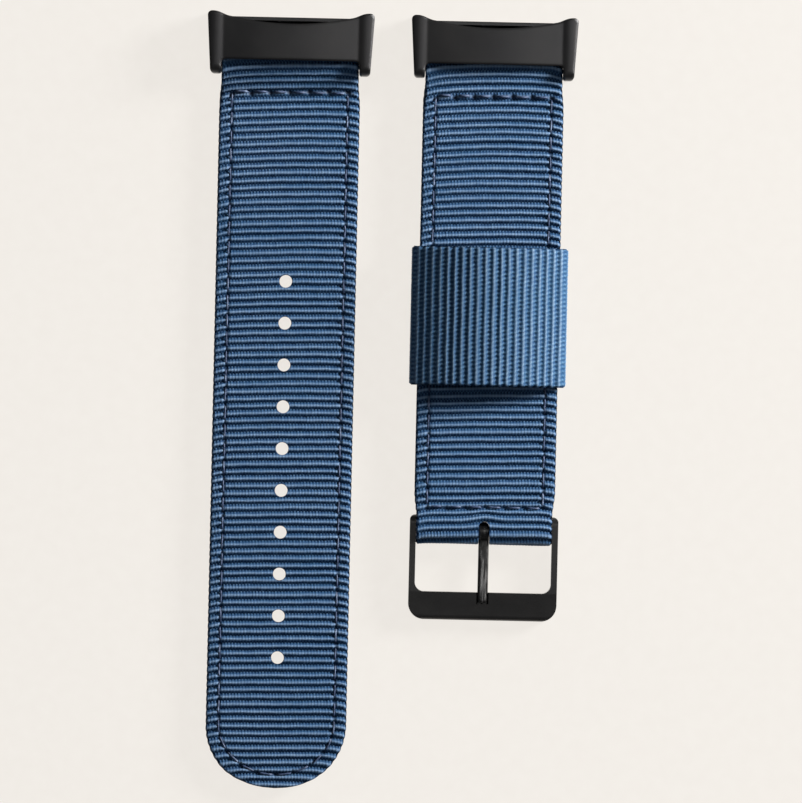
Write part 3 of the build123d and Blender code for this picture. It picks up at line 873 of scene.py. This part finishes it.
def keeper_zigzag():
    """Zigzag thread that joins the keeper's butted ends, seen on both faces of its under layer."""
    points, faces, start = [], [], 0
    low_y = keeper_middle_y - keeper_half_length + ZIGZAG_MARGIN
    high_y = keeper_middle_y + keeper_half_length - ZIGZAG_MARGIN
    ys = np.linspace(low_y, high_y, ZIGZAG_CORNERS)
    corners = [(ZIGZAG_HALF * (-1) ** i, y) for i, y in enumerate(ys)]
    line, s = even(corners, 0.13)
    for z in (UNDER_SINK, LAYER - ZIGZAG_TOP_SINK):
        path = np.stack([short_pin.x + line[:, 0], line[:, 1], z + 0 * s], axis=-1)
        run_points, run_faces = thread_run(path, KEEPER_THREAD)
        points.append(run_points)
        faces.extend([[start + k for k in f] for f in run_faces])
        start += len(run_points)
    return make_object("keeper_zigzag", np.concatenate(points), faces, SEWING)


zigzag = keeper_zigzag()
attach(zigzag, "keeper")
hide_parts("keeper_seam_thread")


# ---------------------------------------------------------------- CAD pieces that keep their shape

def dress(material, *names):
    """Give CAD pieces a material."""
    for name in names:
        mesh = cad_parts[name].data
        mesh.materials.clear()
        mesh.materials.append(material)


def round_edges(name, width, segments=3):
    """Break a metal piece's sharp edges by a small round."""
    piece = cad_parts[name]
    piece.data.shade_smooth()
    bevel = piece.modifiers.new("edge_rounding", "BEVEL")
    bevel.width = width * MM
    bevel.segments = segments
    bevel.limit_method = "ANGLE"
    bevel.angle_limit = math.radians(35)
    bevel.harden_normals = True


round_edges("buckle_frame", 0.18)
round_edges("buckle_tongue", 0.30, 4)
for half in ("long", "short"):
    round_edges(f"{half}_adapter_shell", 0.30)
    round_edges(f"{half}_adapter_base", 0.08, 2)
    dress(ADAPTER_METAL, f"{half}_adapter_shell")
    dress(BASE_METAL, f"{half}_adapter_base")
    dress(LATCH_METAL, f"{half}_latch_button")
    dress(SPRING_STEEL, f"{half}_latch_springs")
dress(BUCKLE_METAL, "buckle_frame")
dress(TONGUE_METAL, "buckle_tongue")
for bar in ("long_bar", "short_bar", "buckle_bar"):
    dress(BAR_STEEL, f"{bar}_tube", f"{bar}_plunger_left", f"{bar}_plunger_right")
    dress(SPRING_STEEL, f"{bar}_spring")


# ---------------------------------------------------------------- floor, light and camera

def floor_material():
    """A pale light table, so that the floor shows evenly through holes and keeps only faint shadows."""
    n = Nodes("floor")
    place = n.add("TexCoord").outputs["Object"]
    grain = n.noise(place, 500.0, 3.0)
    pale = n.mix(n.remap(grain, 0.3, 0.7), (0.858, 0.818, 0.768, 1), (0.872, 0.834, 0.784, 1))
    return n.finish(
        Base_Color=(0.06, 0.059, 0.057, 1), Roughness=0.9, Specular_IOR_Level=0.05,
        Emission_Color=pale, Emission_Strength=0.955,
    )


bpy.ops.mesh.primitive_plane_add(size=3.0, location=(0, 0, -0.00002))
floor = bpy.context.object
floor.name = "floor"
floor.data.materials.append(floor_material())


def area_light(name, location, size, power, colour=(1, 1, 1)):
    """A round area light that points at the middle of the band."""
    data = bpy.data.lights.new(name, "AREA")
    data.shape = "DISK"
    data.size = size
    data.energy = power
    data.color = colour
    lamp = bpy.data.objects.new(name, data)
    lamp.location = location
    lamp.rotation_euler = (-Vector(location)).to_track_quat("-Z", "Y").to_euler()
    bpy.context.scene.collection.objects.link(lamp)


def aim(azimuth, elevation, distance):
    """A place around the band at an azimuth from +X and an elevation, in degrees."""
    a = math.radians(azimuth)
    e = math.radians(elevation)
    level = distance * math.cos(e)
    return level * math.cos(a), level * math.sin(a), distance * math.sin(e)


area_light("key", aim(26, 21, 0.55), 0.18, 8.5, (1.0, 0.985, 0.965))
area_light("top_right", aim(20, 75, 1.0), 0.43, 0.75)

world = bpy.data.worlds.new("studio")
world.use_nodes = True
world.node_tree.nodes["Background"].inputs["Color"].default_value = (0.95, 0.97, 1.0, 1)
world.node_tree.nodes["Background"].inputs["Strength"].default_value = 0.09
bpy.context.scene.world = world

VIEW_WIDTH = 115.33
CAMERA_HEIGHT = 1.2
LENS = 85.0
camera_data = bpy.data.cameras.new("camera")
camera_data.lens = LENS
camera_data.sensor_width = LENS * VIEW_WIDTH * MM / CAMERA_HEIGHT
camera_data.clip_start = 0.01
camera = bpy.data.objects.new("camera", camera_data)
camera.location = (2.31 * MM, 0.24 * MM, CAMERA_HEIGHT)
camera.rotation_euler = (0, 0, math.radians(1.27))
bpy.context.scene.collection.objects.link(camera)
bpy.context.scene.camera = camera
bpy.context.scene.view_settings.view_transform = "Standard"
